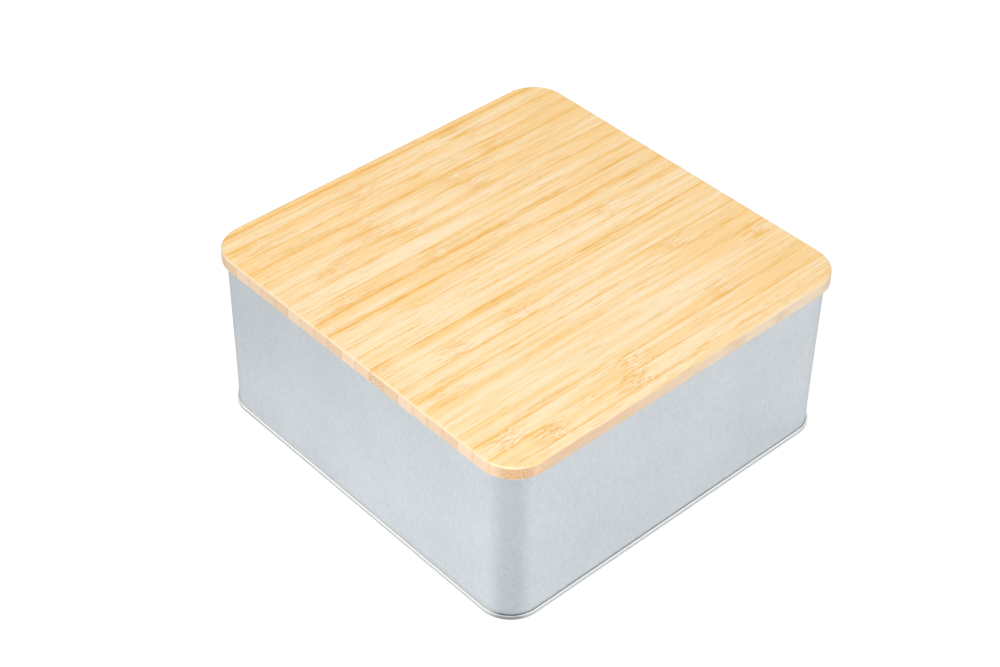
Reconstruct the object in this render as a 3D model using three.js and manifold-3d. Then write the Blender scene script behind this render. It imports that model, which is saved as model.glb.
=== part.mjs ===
// Square tinplate storage box with a lift-off lid of laminated bamboo.
// Millimetres, +Z up. The origin is on the standing plane, under the middle of the box.
// The bamboo strips run along X and are glued side by side along Y.
import * as THREE from "three";
import { mergeVertices } from "three/addons/utils/BufferGeometryUtils.js";
import Module from "manifold-3d";

// Driving dimensions of the whole box
const LID_WIDTH = 200;
const LID_CORNER_RADIUS = 17.2;
const OVERALL_HEIGHT = 89.6;
const LID_EDGE_HEIGHT = 6.7;
const LID_OVERHANG = 2.3;

// Tinplate: sheet thickness, and the room between the folded layers of the base seam
const SHEET = 0.28;
const LAYER_GAP = 0.08;

// Rim curl, rolled inwards: radius of the middle of the sheet, and how far it is rolled
const CURL_RADIUS = 1.15;
const CURL_ANGLE = THREE.MathUtils.degToRad(290);

// Base seam, where the wall and the base are folded into each other
const SEAM_HEIGHT = 2.2;
const SEAM_FOOT_RADIUS = 0.35;
const BODY_HOOK_TOP = 1.45;
const BASE_HOOK_END = 0.85;

// Base panel: its field stands above a lower margin that runs round inside the seam
const BASE_FIELD_LEVEL = 3.2;
const BASE_MARGIN_LEVEL = 2.4;
const BASE_MARGIN_WIDTH = 9;
const BASE_STEP_RUN = 1.5;
const BASE_BEND_RADIUS = 0.5;

// Lock seam that closes the wall, folded to the inside of the rear face
const SIDE_SEAM_WIDTH = 5;
const SIDE_SEAM_DEPTH = 3 * SHEET;
const SIDE_SEAM_BOTTOM = 4.2;
const SIDE_SEAM_CLEAR_OF_CURL = 0.5;

// Lid board: rounded edges, and a plug that drops inside the rim
const LID_TOP_ROUND = 1.4;
const LID_LOW_ROUND = 0.6;
const LID_SEAT_GAP = 0.1;
const PLUG_DEPTH = 5.5;
const PLUG_CLEARANCE = 2.05;
const PLUG_CHAMFER = 0.8;

// Glued strips, counted out from the middle: the board is sawn through its first and its last one
const STRIP_PITCH = 9.11;
const STRIP_COUNT = 23;
const GLUE_LINE = 0.06;

// Silicone seal in a groove round the plug, with two thin fins
const GROOVE_DEPTH = 1.6;
const GROOVE_HEIGHT = 3;
const GROOVE_BELOW_SEAT = 0.5;
const SEAL_CLEARANCE = 0.12;
const FIN_CLEARANCE = 0.2;
const FIN_ROOT = 0.8;
const FIN_TIP = 0.36;
const FIN_DROOP = 0.25;
const FIN_PITCH = 1.4;

// Facets of each upright corner, and of the small bends in a section
const CORNER_STEPS = 8;
const CURL_STEPS = 10;
const BEND_STEPS = 3;

// Every section is drawn as (reach, z): reach is the distance out from the upright corner axes,
// which all the pieces share, so each section runs straight along the sides and turns at the corners.
const CORNER_CENTRE = LID_WIDTH / 2 - LID_CORNER_RADIUS;
const WALL_OUTSIDE = LID_CORNER_RADIUS - LID_OVERHANG;
const WALL_MIDDLE = WALL_OUTSIDE - SHEET / 2;
const WALL_INSIDE = WALL_OUTSIDE - SHEET;
const LAYER = SHEET + LAYER_GAP;
const LID_SEAT = OVERALL_HEIGHT - LID_EDGE_HEIGHT;
const RIM_TOP = LID_SEAT - LID_SEAT_GAP;
const CURL_CENTRE_Z = RIM_TOP - SHEET / 2 - CURL_RADIUS;
const CURL_BOTTOM = CURL_CENTRE_Z - CURL_RADIUS - SHEET / 2;
const RIM_OPENING = WALL_MIDDLE - 2 * CURL_RADIUS - SHEET / 2;
const PLUG_REACH = RIM_OPENING - PLUG_CLEARANCE;
const PLUG_BOTTOM = LID_SEAT - PLUG_DEPTH;
const GROOVE_TOP = LID_SEAT - GROOVE_BELOW_SEAT;
const GROOVE_BOTTOM = GROOVE_TOP - GROOVE_HEIGHT;

const COLOURS = { tin: 0xcdd5db, bamboo: 0xf3d3a0, silicone: 0xe6e6e0 };

const wasm = await Module();
wasm.setup();

// Turns a section into a solid that follows the rounded square. A closed section makes a ring;
// an open one is closed by flat faces across the middle, at its first and its last point.
function sweepSection(section, { closed }) {
  const stations = [];
  for (let corner = 0; corner < 4; corner++) {
    for (let step = 0; step <= CORNER_STEPS; step++) {
      const angle = ((corner + step / CORNER_STEPS) * Math.PI) / 2;
      const sideX = corner === 0 || corner === 3 ? 1 : -1;
      const sideY = corner < 2 ? 1 : -1;
      stations.push({ angle, x: sideX * CORNER_CENTRE, y: sideY * CORNER_CENTRE });
    }
  }
  const positions = [];
  for (const { x, y, angle } of stations) {
    for (const point of section) {
      positions.push(x + point.x * Math.cos(angle), y + point.x * Math.sin(angle), point.y);
    }
  }
  const count = section.length;
  const index = [];
  for (let s = 0; s < stations.length; s++) {
    const here = s * count;
    const next = ((s + 1) % stations.length) * count;
    for (let p = 0; p < (closed ? count : count - 1); p++) {
      const q = (p + 1) % count;
      index.push(here + p, next + p, next + q, here + p, next + q, here + q);
    }
  }
  if (!closed) {
    for (const end of [0, count - 1]) {
      const middle = positions.length / 3;
      positions.push(0, 0, section[end].y);
      for (let s = 0; s < stations.length; s++) {
        const here = s * count + end;
        const next = ((s + 1) % stations.length) * count + end;
        index.push(...(end === 0 ? [middle, next, here] : [middle, here, next]));
      }
    }
  }
  const geometry = new THREE.BufferGeometry();
  geometry.setAttribute("position", new THREE.Float32BufferAttribute(positions, 3));
  geometry.setIndex(index);
  return geometry;
}

// Points at one side of a line of sheet metal: half a sheet to its left (+1) or right (-1).
function offsetLine(line, side) {
  return line.map((point, i) => {
    const before = i > 0 ? point.clone().sub(line[i - 1]).normalize() : null;
    const after = i < line.length - 1 ? line[i + 1].clone().sub(point).normalize() : null;
    const along = (before ?? after).clone().add(after ?? before).normalize();
    const cosine = along.dot(before ?? after);
    const across = new THREE.Vector2(-along.y, along.x);
    return point.clone().addScaledVector(across, (side * SHEET) / 2 / cosine);
  });
}

// The line of points along lines and arcs, without doubled points.
function tracePath(draw) {
  const path = new THREE.Path();
  draw(path);
  const points = path.curves.flatMap((curve) =>
    curve.isLineCurve ? curve.getPoints(1) : curve.getPoints(curve.userData ?? BEND_STEPS),
  );
  return points.filter((point, i) => i === 0 || point.distanceTo(points[i - 1]) > 1e-6);
}

// An arc about (x, z), between two angles in quarter turns, rounded in the given number of steps.
function addArc(path, x, z, radius, from, to, steps = BEND_STEPS) {
  path.absarc(x, z, radius, (from * Math.PI) / 2, (to * Math.PI) / 2, to < from);
  path.curves.at(-1).userData = steps;
}

// manifold-3d solid of a closed geometry, and the geometry of a solid
function toSolid(geometry) {
  const bare = geometry.clone();
  bare.deleteAttribute("normal");
  bare.deleteAttribute("uv");
  const merged = mergeVertices(bare, 1e-4);
  const vertProperties = new Float32Array(merged.attributes.position.array);
  return new wasm.Manifold(
    new wasm.Mesh({ numProp: 3, vertProperties, triVerts: new Uint32Array(merged.index.array) }),
  );
}

function toGeometry(solid) {
  const mesh = solid.getMesh();
  const geometry = new THREE.BufferGeometry();
  geometry.setAttribute("position", new THREE.BufferAttribute(mesh.vertProperties, 3));
  geometry.setIndex(new THREE.BufferAttribute(mesh.triVerts, 1));
  geometry.computeVertexNormals();
  return geometry;
}

// A block between two corners, each given as [x, y, z]
function block(low, high) {
  const size = high.map((value, axis) => value - low[axis]);
  const geometry = new THREE.BoxGeometry(...size);
  geometry.translate(...low.map((value, axis) => value + size[axis] / 2));
  return geometry;
}

// One wrapped sheet: curled rim, straight side, and the hook that the base is folded round
function makeBodyWall() {
  const turn = LAYER;
  const hookTurnZ = SHEET + LAYER_GAP + SHEET / 2 + turn;
  const line = tracePath((path) => {
    path.moveTo(WALL_MIDDLE + 2 * turn, BODY_HOOK_TOP);
    path.lineTo(WALL_MIDDLE + 2 * turn, hookTurnZ);
    addArc(path, WALL_MIDDLE + turn, hookTurnZ, turn, 0, -2, 2 * BEND_STEPS);
    path.lineTo(WALL_MIDDLE, CURL_CENTRE_Z);
    const curlEnd = CURL_ANGLE / (Math.PI / 2);
    addArc(path, WALL_MIDDLE - CURL_RADIUS, CURL_CENTRE_Z, CURL_RADIUS, 0, curlEnd, CURL_STEPS);
  });
  const section = [...offsetLine(line, -1), ...offsetLine(line, 1).reverse()];
  const wall = toSolid(sweepSection(section, { closed: true }));
  const inside = CORNER_CENTRE + WALL_INSIDE;
  const lockSeam = block(
    [-SIDE_SEAM_WIDTH / 2, inside - SIDE_SEAM_DEPTH, SIDE_SEAM_BOTTOM],
    [SIDE_SEAM_WIDTH / 2, inside + SHEET / 2, CURL_BOTTOM - SIDE_SEAM_CLEAR_OF_CURL],
  );
  return toGeometry(wall.add(toSolid(lockSeam)));
}

// One pressed sheet: flat field, lower margin, upright chuck wall, and the curl folded round the wall's hook
function makeBasePanel() {
  const chuckWall = WALL_MIDDLE - LAYER;
  const seamWall = WALL_MIDDLE + 3 * LAYER;
  const hookTurn = LAYER;
  const footZ = SHEET / 2 + SEAM_FOOT_RADIUS;
  const hookTurnZ = SEAM_HEIGHT - SHEET / 2 - hookTurn;
  const bendZ = BASE_MARGIN_LEVEL - BASE_BEND_RADIUS;
  const marginEnd = chuckWall - BASE_MARGIN_WIDTH;
  const line = tracePath((path) => {
    path.moveTo(marginEnd - BASE_STEP_RUN, BASE_FIELD_LEVEL);
    path.lineTo(marginEnd, BASE_MARGIN_LEVEL);
    path.lineTo(chuckWall - BASE_BEND_RADIUS, BASE_MARGIN_LEVEL);
    addArc(path, chuckWall - BASE_BEND_RADIUS, bendZ, BASE_BEND_RADIUS, 1, 0);
    path.lineTo(chuckWall, footZ);
    addArc(path, chuckWall + SEAM_FOOT_RADIUS, footZ, SEAM_FOOT_RADIUS, 2, 3);
    path.lineTo(seamWall - SEAM_FOOT_RADIUS, SHEET / 2);
    addArc(path, seamWall - SEAM_FOOT_RADIUS, footZ, SEAM_FOOT_RADIUS, 3, 4);
    path.lineTo(seamWall, hookTurnZ);
    addArc(path, seamWall - hookTurn, hookTurnZ, hookTurn, 0, 2, 2 * BEND_STEPS);
    path.lineTo(seamWall - 2 * hookTurn, BASE_HOOK_END);
  });
  const fieldEdge = marginEnd - BASE_STEP_RUN - SHEET;
  const rise = (side) => new THREE.Vector2(fieldEdge, BASE_FIELD_LEVEL + (side * SHEET) / 2);
  const under = [rise(-1), ...offsetLine(line, -1)];
  const over = [rise(1), ...offsetLine(line, 1)];
  return sweepSection([...under, ...over.reverse()], { closed: false });
}

// The glued and milled board, before it is split into its strips
function makeLidBoard() {
  const edge = LID_CORNER_RADIUS;
  const floor = PLUG_REACH - GROOVE_DEPTH;
  const line = tracePath((path) => {
    path.moveTo(PLUG_REACH - PLUG_CHAMFER, PLUG_BOTTOM);
    path.lineTo(PLUG_REACH, PLUG_BOTTOM + PLUG_CHAMFER);
    path.lineTo(PLUG_REACH, GROOVE_BOTTOM);
    path.lineTo(floor, GROOVE_BOTTOM);
    path.lineTo(floor, GROOVE_TOP);
    path.lineTo(PLUG_REACH, GROOVE_TOP);
    path.lineTo(PLUG_REACH, LID_SEAT);
    path.lineTo(edge - LID_LOW_ROUND, LID_SEAT);
    addArc(path, edge - LID_LOW_ROUND, LID_SEAT + LID_LOW_ROUND, LID_LOW_ROUND, -1, 0);
    path.lineTo(edge, OVERALL_HEIGHT - LID_TOP_ROUND);
    addArc(path, edge - LID_TOP_ROUND, OVERALL_HEIGHT - LID_TOP_ROUND, LID_TOP_ROUND, 0, 1);
  });
  return toSolid(sweepSection(line, { closed: false }));
}

// One glued strip of the board, counted from the front edge
function makeStrip(board, index) {
  const edge = LID_WIDTH / 2;
  const joint = (number) => (number - STRIP_COUNT / 2) * STRIP_PITCH;
  const isLast = index === STRIP_COUNT - 1;
  const low = index === 0 ? -edge : joint(index) + GLUE_LINE / 2;
  const high = isLast ? edge : joint(index + 1) - GLUE_LINE / 2;
  const slice = block([-edge, low, 0], [edge, high, OVERALL_HEIGHT]);
  return toGeometry(board.intersect(toSolid(slice)));
}

// Band that sits in the plug's groove, with two fins that wipe the rim
function makeSeal() {
  const inner = PLUG_REACH - GROOVE_DEPTH + SEAL_CLEARANCE;
  const tip = RIM_OPENING - FIN_CLEARANCE;
  const low = GROOVE_BOTTOM + SEAL_CLEARANCE;
  const high = GROOVE_TOP - SEAL_CLEARANCE;
  const middle = (low + high) / 2;
  const section = [new THREE.Vector2(inner, low), new THREE.Vector2(PLUG_REACH, low)];
  for (const finZ of [middle - FIN_PITCH / 2, middle + FIN_PITCH / 2]) {
    section.push(
      new THREE.Vector2(PLUG_REACH, finZ - FIN_ROOT / 2),
      new THREE.Vector2(tip, finZ + FIN_DROOP - FIN_TIP / 2),
      new THREE.Vector2(tip, finZ + FIN_DROOP + FIN_TIP / 2),
      new THREE.Vector2(PLUG_REACH, finZ + FIN_ROOT / 2),
    );
  }
  section.push(new THREE.Vector2(PLUG_REACH, high), new THREE.Vector2(inner, high));
  return sweepSection(section, { closed: true });
}

// Strips differ a little in lightness, as bamboo does
function stripMaterial(index) {
  const colour = new THREE.Color(COLOURS.bamboo).offsetHSL(0, 0, 0.03 * Math.sin(2.4 * index));
  return new THREE.MeshStandardMaterial({ color: colour, roughness: 0.55, metalness: 0 });
}

const tinMaterial = new THREE.MeshStandardMaterial({
  color: COLOURS.tin,
  roughness: 0.42,
  metalness: 0.9,
});
const siliconeMaterial = new THREE.MeshStandardMaterial({
  color: COLOURS.silicone,
  roughness: 0.5,
  metalness: 0,
});

function addPiece(group, name, geometry, material) {
  const mesh = new THREE.Mesh(geometry, material);
  mesh.name = name;
  group.add(mesh);
}

const tin = new THREE.Group();
addPiece(tin, "body_wall", makeBodyWall(), tinMaterial);
addPiece(tin, "base_panel", makeBasePanel(), tinMaterial.clone());

const lid = new THREE.Group();
const board = makeLidBoard();
for (let index = 0; index < STRIP_COUNT; index++) {
  const number = String(index + 1).padStart(2, "0");
  addPiece(lid, `bamboo_strip_${number}`, makeStrip(board, index), stripMaterial(index));
}
addPiece(lid, "lid_seal", makeSeal(), siliconeMaterial);

const box = new THREE.Group();
box.add(tin, lid);

export default box;
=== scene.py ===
"""Square tinplate box with a laminated bamboo lid: the looks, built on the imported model.

The box and the camera's place are written in millimetres and made into metres by MM; the lamps and the
floor are written in metres. +Z is up, and the strips run along X.
"""

import math
from functools import reduce
from types import SimpleNamespace

import bmesh
import bpy
from mathutils import Matrix, Vector


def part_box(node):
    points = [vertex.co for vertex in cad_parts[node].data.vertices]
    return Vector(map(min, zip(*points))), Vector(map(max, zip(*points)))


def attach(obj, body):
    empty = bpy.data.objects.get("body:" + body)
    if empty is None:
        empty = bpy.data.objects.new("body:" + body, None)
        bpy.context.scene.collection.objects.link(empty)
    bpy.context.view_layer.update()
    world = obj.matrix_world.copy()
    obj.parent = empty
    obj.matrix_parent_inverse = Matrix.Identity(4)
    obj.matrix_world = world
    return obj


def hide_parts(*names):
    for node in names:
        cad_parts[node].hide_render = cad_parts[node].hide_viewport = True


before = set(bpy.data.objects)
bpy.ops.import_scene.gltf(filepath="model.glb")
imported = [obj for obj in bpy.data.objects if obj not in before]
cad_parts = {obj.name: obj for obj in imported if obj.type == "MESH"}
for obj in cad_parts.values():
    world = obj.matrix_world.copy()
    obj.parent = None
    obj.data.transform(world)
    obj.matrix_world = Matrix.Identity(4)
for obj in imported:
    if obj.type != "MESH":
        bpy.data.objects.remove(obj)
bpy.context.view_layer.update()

MM = 0.001

# Whole box
LID_WIDTH = 200.0
LID_CORNER_RADIUS = 17.2
OVERALL_HEIGHT = 89.6
LID_EDGE_HEIGHT = 6.7
LID_OVERHANG = 2.3

# Tinplate: sheet, folded seam, curled rim, base panel
SHEET = 0.28
LAYER_GAP = 0.08
CURL_RADIUS = 1.15
CURL_ANGLE = 290.0
SEAM_HEIGHT = 2.2
SEAM_FOOT_RADIUS = 0.35
SEAM_PRESSED_GAP = 0.02
SEAM_CREASE_DEPTH = 0.15
BODY_HOOK_TOP = 1.45
BASE_HOOK_END = 0.85
BASE_FIELD_LEVEL = 3.2
BASE_MARGIN_LEVEL = 2.4
BASE_MARGIN_WIDTH = 9.0
BASE_STEP_RUN = 1.5
BASE_BEND_RADIUS = 0.5

# Flare of the wall into the seam, which starts between the seam's layers
FLARE = 0.26
FLARE_HEIGHT = 25.0
FLARE_FOOT = 1.5

# Lock seam on the rear face: rib inside, a crisp fold line and a soft one outside
LOCK_HALF_WIDTH = 2.5
LOCK_RIB_DEPTH = 3 * SHEET
LOCK_RIB_BOTTOM = 4.2
LOCK_RIB_CLEAR_OF_CURL = 0.5
LOCK_RIB_SLOPE = 0.4
LOCK_FOLD_DEPTH = 0.16
LOCK_CREASE_DEPTH = 0.05
LOCK_STEPS_ACROSS_FOLD = (-0.5, -0.15, 0.0, 0.15, 0.5)

# Lid board, plug and seal
LID_TOP_ROUND = 1.4
LID_LOW_ROUND = 0.6
LID_SEAT_GAP = 0.1
PLUG_DEPTH = 5.5
PLUG_CLEARANCE = 2.05
PLUG_CHAMFER = 0.8
GROOVE_DEPTH = 1.6
GROOVE_HEIGHT = 3.0
GROOVE_BELOW_SEAT = 0.5
GLUE_LINE = 0.06
SEAL_CLEARANCE = 0.12
FIN_CLEARANCE = 0.2
FIN_ROOT = 0.8
FIN_TIP = 0.36
FIN_DROOP = 0.25
FIN_PITCH = 1.4

# Fineness of the rounded shapes
CORNER_STEPS = 24
BEND_STEPS = 6
CURL_STEPS = 26
FLARE_STEPS = 6

# Flats drawn beside a bend to keep its shading off the faces
FLAT_BESIDE_BEND = 1.0
SHORT_FLAT = 0.5

# An edge that turns by more degrees than this stays crisp
SHARP_ANGLE = 35

# What every section is measured from: the upright corner axes
CORNER_CENTRE = LID_WIDTH / 2 - LID_CORNER_RADIUS
WALL_OUTSIDE = LID_CORNER_RADIUS - LID_OVERHANG
WALL_MIDDLE = WALL_OUTSIDE - SHEET / 2
LAYER = SHEET + LAYER_GAP
LID_SEAT = OVERALL_HEIGHT - LID_EDGE_HEIGHT
RIM_TOP = LID_SEAT - LID_SEAT_GAP
CURL_CENTRE_Z = RIM_TOP - SHEET / 2 - CURL_RADIUS
CURL_BOTTOM = CURL_CENTRE_Z - CURL_RADIUS - SHEET / 2
LOCK_RIB_TOP = CURL_BOTTOM - LOCK_RIB_CLEAR_OF_CURL
RIM_OPENING = WALL_MIDDLE - 2 * CURL_RADIUS - SHEET / 2
PLUG_REACH = RIM_OPENING - PLUG_CLEARANCE
PLUG_BOTTOM = LID_SEAT - PLUG_DEPTH
GROOVE_TOP = LID_SEAT - GROOVE_BELOW_SEAT
GROOVE_BOTTOM = GROOVE_TOP - GROOVE_HEIGHT

# The bamboo strips from front to back: tone (0 pale to 1 amber); how amber the strip is along its front
# joint and its rear joint, each as an even band and as broken dashes; where along X its knuckles are
STRIPS = [
    (0.15, (0.00, 0.3), (0.00, 0.3), ()),
    (0.25, (0.45, 0.6), (0.00, 0.1), (-68, -20)),
    (0.35, (0.30, 0.8), (0.00, 0.0), (-85, -15)),
    (0.35, (0.90, 0.3), (0.05, 0.1), (50,)),
    (0.10, (0.35, 0.3), (0.00, 0.0), ()),
    (0.30, (0.00, 0.0), (0.65, 0.3), (92,)),
    (0.35, (0.10, 0.3), (0.25, 0.9), (-83,)),
    (0.35, (0.10, 0.2), (0.75, 0.3), (57,)),
    (0.30, (0.00, 0.1), (0.00, 0.1), (-62, -28)),
    (0.40, (0.10, 0.1), (1.30, 0.2), (-97,)),
    (0.30, (0.00, 0.1), (0.30, 0.6), ()),
    (0.15, (0.00, 0.0), (0.70, 0.3), (55,)),
    (0.35, (0.00, 0.1), (1.50, 0.0), ()),
    (0.30, (0.60, 0.2), (0.60, 0.0), (-97,)),
    (0.35, (1.60, 0.2), (0.65, 0.3), (-77, -26)),
    (0.25, (0.10, 0.2), (0.40, 0.4), ()),
    (0.40, (0.40, 0.8), (0.60, 0.5), (-67, -22)),
    (0.40, (0.30, 0.3), (0.50, 0.5), (-36, 22)),
    (0.45, (0.20, 0.3), (0.70, 0.4), (-35, 17)),
    (0.50, (1.00, 0.5), (0.50, 0.8), (50,)),
    (0.45, (0.20, 0.2), (0.35, 0.8), (-82, -23)),
    (0.45, (0.20, 0.7), (1.00, 0.6), (45,)),
    (0.60, (1.00, 0.6), (0.40, 0.3), ()),
]
CRUMBLY_STRIPS = {2: 1.0, 3: 1.0, 9: 0.6}
LESS_CRUMBLY = 0.35
SPECKLED_STRIP = 10
FEWER_SPECKS = 0.22
END_TONE_RANGE = 0.55
NO_KNUCKLE = 1000.0

# Steps that scatter a value evenly from strip to strip
SEED_STEP = 0.6180339887
END_TONE_STEP = 0.7548776662

# Camera, from the fit to the photograph's edges
CAMERA_AZIMUTH = math.radians(-42.829)
CAMERA_ELEVATION = math.radians(40.326)
CAMERA_ROLL = math.radians(0.911)
CAMERA_PLACE = Vector((-485.7, -508.5, 641.0))
CAMERA_FOCAL_PIXELS = 2032.8
CAMERA_NEAREST = 0.01
CAMERA_FARTHEST = 20
IMAGE_WIDTH = 1000
SENSOR_WIDTH = 36.0

# Lamps, in metres and watts: name, place, width, power
LAMPS = [
    ("softbox_left", (-0.56, -0.47, 0.43), 0.5, 2.55),
    ("softbox_right", (0.50, -0.60, 0.50), 0.5, 0.4),
    ("softbox_front", (-0.35, -0.40, 1.20), 0.8, 4.2),
    ("softbox_above", (0.10, 0.20, 1.60), 1.2, 4.6),
    ("softbox_back", (0.60, 0.70, 0.95), 0.6, 2.3),
    ("softbox_far", (-0.55, 0.60, 0.60), 0.5, 0.7),
]
LAMP_TARGET = (0, 0, 0.05)

# Floor and world: size in metres and brightness; the floor's glow goes from one distance to another, in
# metres from its middle, and from one strength to another
FLOOR_HALF_WIDTH = 4.0
FLOOR_GREY = (0.88, 0.88, 0.88, 1)
FLOOR_GLOW = (0.5, 2.0, 0.32, 0.65)
WORLD_LIGHT = 0.4
WORLD_SEEN = 1.0

# The floor's glow as the tin mirrors it, in the same way: along Y, out from the left and the front face,
# right beside the seam, and past the corner between the two faces
MIRRORED_GLOW = (0.17, -0.02, 0.02, 0.21)
LEFT_GLOW = (0.055, 0.015, 0.0, 0.07)
FRONT_GLOW = (0.03, 0.008, 0.015, -0.05)
BESIDE_SEAM = (0.0, 0.006)
PAST_CORNER = (0.02, -0.01)


# Sections, drawn as lists of (reach, z)


def arc(x, z, radius, start, end, steps):
    """Points on an arc about (x, z), between two angles in degrees."""
    angles = [math.radians(start + (end - start) * step / steps) for step in range(steps + 1)]
    return [(x + radius * math.cos(a), z + radius * math.sin(a)) for a in angles]


def offset_line(line, side):
    """The line moved half a sheet to its left (side 1) or right (side -1)."""
    points = [Vector(point) for point in line]
    moved = []
    for i, point in enumerate(points):
        before = (point - points[i - 1]).normalized() if i else None
        after = (points[i + 1] - point).normalized() if i + 1 < len(points) else None
        along = ((before or after) + (after or before)).normalized()
        across = Vector((-along.y, along.x))
        moved.append(point + across * (side * SHEET / 2 / along.dot(before or after)))
    return [tuple(point) for point in moved]


def sheet_section(line):
    """Outline of a sheet whose middle follows the line: along its right side, then back along its left."""
    return offset_line(line, -1) + offset_line(line, 1)[::-1]


def flare(z):
    """How far the wall stands out just above the seam."""
    share = max(0, 1 - (z - SEAM_HEIGHT) / FLARE_HEIGHT)
    return FLARE * share * share


def wall_section():
    """Closed section of the wall: hook, side that flares into the seam, and inward curl."""
    hook_z = SHEET + LAYER_GAP + SHEET / 2 + LAYER
    levels = [SEAM_HEIGHT + FLARE_HEIGHT * step / FLARE_STEPS for step in range(FLARE_STEPS + 1)]
    levels += [LOCK_RIB_BOTTOM, LOCK_RIB_BOTTOM + LOCK_RIB_SLOPE]
    levels += [LOCK_RIB_TOP - LOCK_RIB_SLOPE, LOCK_RIB_TOP]
    line = [(WALL_MIDDLE + 2 * LAYER, BODY_HOOK_TOP)]
    line += arc(WALL_MIDDLE + LAYER, hook_z, LAYER, 0, -180, 2 * BEND_STEPS)
    line += [(WALL_MIDDLE, FLARE_FOOT)]
    line += [(WALL_MIDDLE + flare(z), z) for z in sorted(levels)]
    line += arc(WALL_MIDDLE - CURL_RADIUS, CURL_CENTRE_Z, CURL_RADIUS, 0, CURL_ANGLE, CURL_STEPS)
    return sheet_section(line)


def base_section():
    """Open section of the base: field, margin, chuck wall, folded seam."""
    chuck = WALL_MIDDLE - LAYER
    seam = WALL_MIDDLE + 3 * LAYER
    foot_z = SHEET / 2 + SEAM_FOOT_RADIUS
    hook_z = SEAM_HEIGHT - SHEET / 2 - LAYER
    margin = chuck - BASE_MARGIN_WIDTH
    field = margin - BASE_STEP_RUN
    bend_x, bend_z = chuck - BASE_BEND_RADIUS, BASE_MARGIN_LEVEL - BASE_BEND_RADIUS
    pressed = WALL_MIDDLE + SHEET + SEAM_PRESSED_GAP
    crease = pressed + FLARE
    line = [(field - FLAT_BESIDE_BEND, BASE_FIELD_LEVEL), (field, BASE_FIELD_LEVEL)]
    line += [(margin, BASE_MARGIN_LEVEL), (margin + FLAT_BESIDE_BEND, BASE_MARGIN_LEVEL)]
    line += [(bend_x - SHORT_FLAT, BASE_MARGIN_LEVEL)]
    line += arc(bend_x, bend_z, BASE_BEND_RADIUS, 90, 0, BEND_STEPS)
    line += arc(chuck + SEAM_FOOT_RADIUS, foot_z, SEAM_FOOT_RADIUS, 180, 270, BEND_STEPS)
    line += arc(seam - SEAM_FOOT_RADIUS, foot_z, SEAM_FOOT_RADIUS, 270, 360, BEND_STEPS)
    line += arc(seam - LAYER, hook_z, LAYER, 0, 90, BEND_STEPS)
    line += [(crease + SEAM_CREASE_DEPTH, hook_z + LAYER), (crease, hook_z + LAYER - SEAM_CREASE_DEPTH)]
    line += [(pressed, FLARE_FOOT), (pressed, BASE_HOOK_END)]
    return sheet_section(line)


def board_section():
    """Open section of the milled board, from under the plug to the top."""
    edge = LID_CORNER_RADIUS
    floor = PLUG_REACH - GROOVE_DEPTH
    chamfer = PLUG_REACH - PLUG_CHAMFER
    top_centre = OVERALL_HEIGHT - LID_TOP_ROUND
    line = [(chamfer - FLAT_BESIDE_BEND, PLUG_BOTTOM), (chamfer, PLUG_BOTTOM)]
    line += [(PLUG_REACH, PLUG_BOTTOM + PLUG_CHAMFER), (PLUG_REACH, GROOVE_BOTTOM)]
    line += [(floor, GROOVE_BOTTOM), (floor, GROOVE_TOP), (PLUG_REACH, GROOVE_TOP)]
    line += [(PLUG_REACH, LID_SEAT)]
    line += arc(edge - LID_LOW_ROUND, LID_SEAT + LID_LOW_ROUND, LID_LOW_ROUND, -90, 0, BEND_STEPS)
    line += arc(edge - LID_TOP_ROUND, top_centre, LID_TOP_ROUND, 0, 90, BEND_STEPS)
    line += [(edge - LID_TOP_ROUND - SHORT_FLAT, OVERALL_HEIGHT)]
    return line


def seal_section():
    """Closed section of the seal: band in the groove, and two fins with rounded tips."""
    inner = PLUG_REACH - GROOVE_DEPTH + SEAL_CLEARANCE
    tip = RIM_OPENING - FIN_CLEARANCE - FIN_TIP / 2
    low, high = GROOVE_BOTTOM + SEAL_CLEARANCE, GROOVE_TOP - SEAL_CLEARANCE
    middle = (low + high) / 2
    section = [(inner, low), (PLUG_REACH, low)]
    for z in (middle - FIN_PITCH / 2, middle + FIN_PITCH / 2):
        section += [(PLUG_REACH, z - FIN_ROOT / 2)]
        section += arc(tip, z + FIN_DROOP, FIN_TIP / 2, -90, 90, BEND_STEPS)
        section += [(PLUG_REACH, z + FIN_ROOT / 2)]
    return section + [(PLUG_REACH, high), (inner, high)]


# Meshes swept round the box


def corner_stations():
    """(corner axis x, corner axis y, angle) of each place where the section is drawn."""
    stations = []
    for corner in range(4):
        side_x = 1 if corner in (0, 3) else -1
        side_y = 1 if corner < 2 else -1
        for step in range(CORNER_STEPS + 1):
            angle = (corner + step / CORNER_STEPS) * math.pi / 2
            stations.append((side_x * CORNER_CENTRE, side_y * CORNER_CENTRE, angle))
    return stations


def rear_stations(places):
    """Extra stations on the rear face, at the given X, in the order that the sweep passes them."""
    return [(x, CORNER_CENTRE, math.pi / 2) for x in sorted(places, reverse=True)]


def sweep(section, closed, stations, shift=None):
    """A bmesh of the section carried round the stations. shift(x, index) moves points outwards."""
    mesh = bmesh.new()
    rows = []
    for x, y, angle in stations:
        row = []
        for index, (reach, z) in enumerate(section):
            out = reach + (shift(x, index) if shift else 0)
            place = Vector((x + out * math.cos(angle), y + out * math.sin(angle), z)) * MM
            row.append(mesh.verts.new(place))
        rows.append(row)
    count = len(section)
    for here, ahead in zip(rows, rows[1:] + rows[:1]):
        for p in range(count if closed else count - 1):
            q = (p + 1) % count
            mesh.faces.new((here[p], ahead[p], ahead[q], here[q]))
    if not closed:
        mesh.faces.new([row[0] for row in reversed(rows)])
        mesh.faces.new([row[-1] for row in rows])
    return mesh


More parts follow.
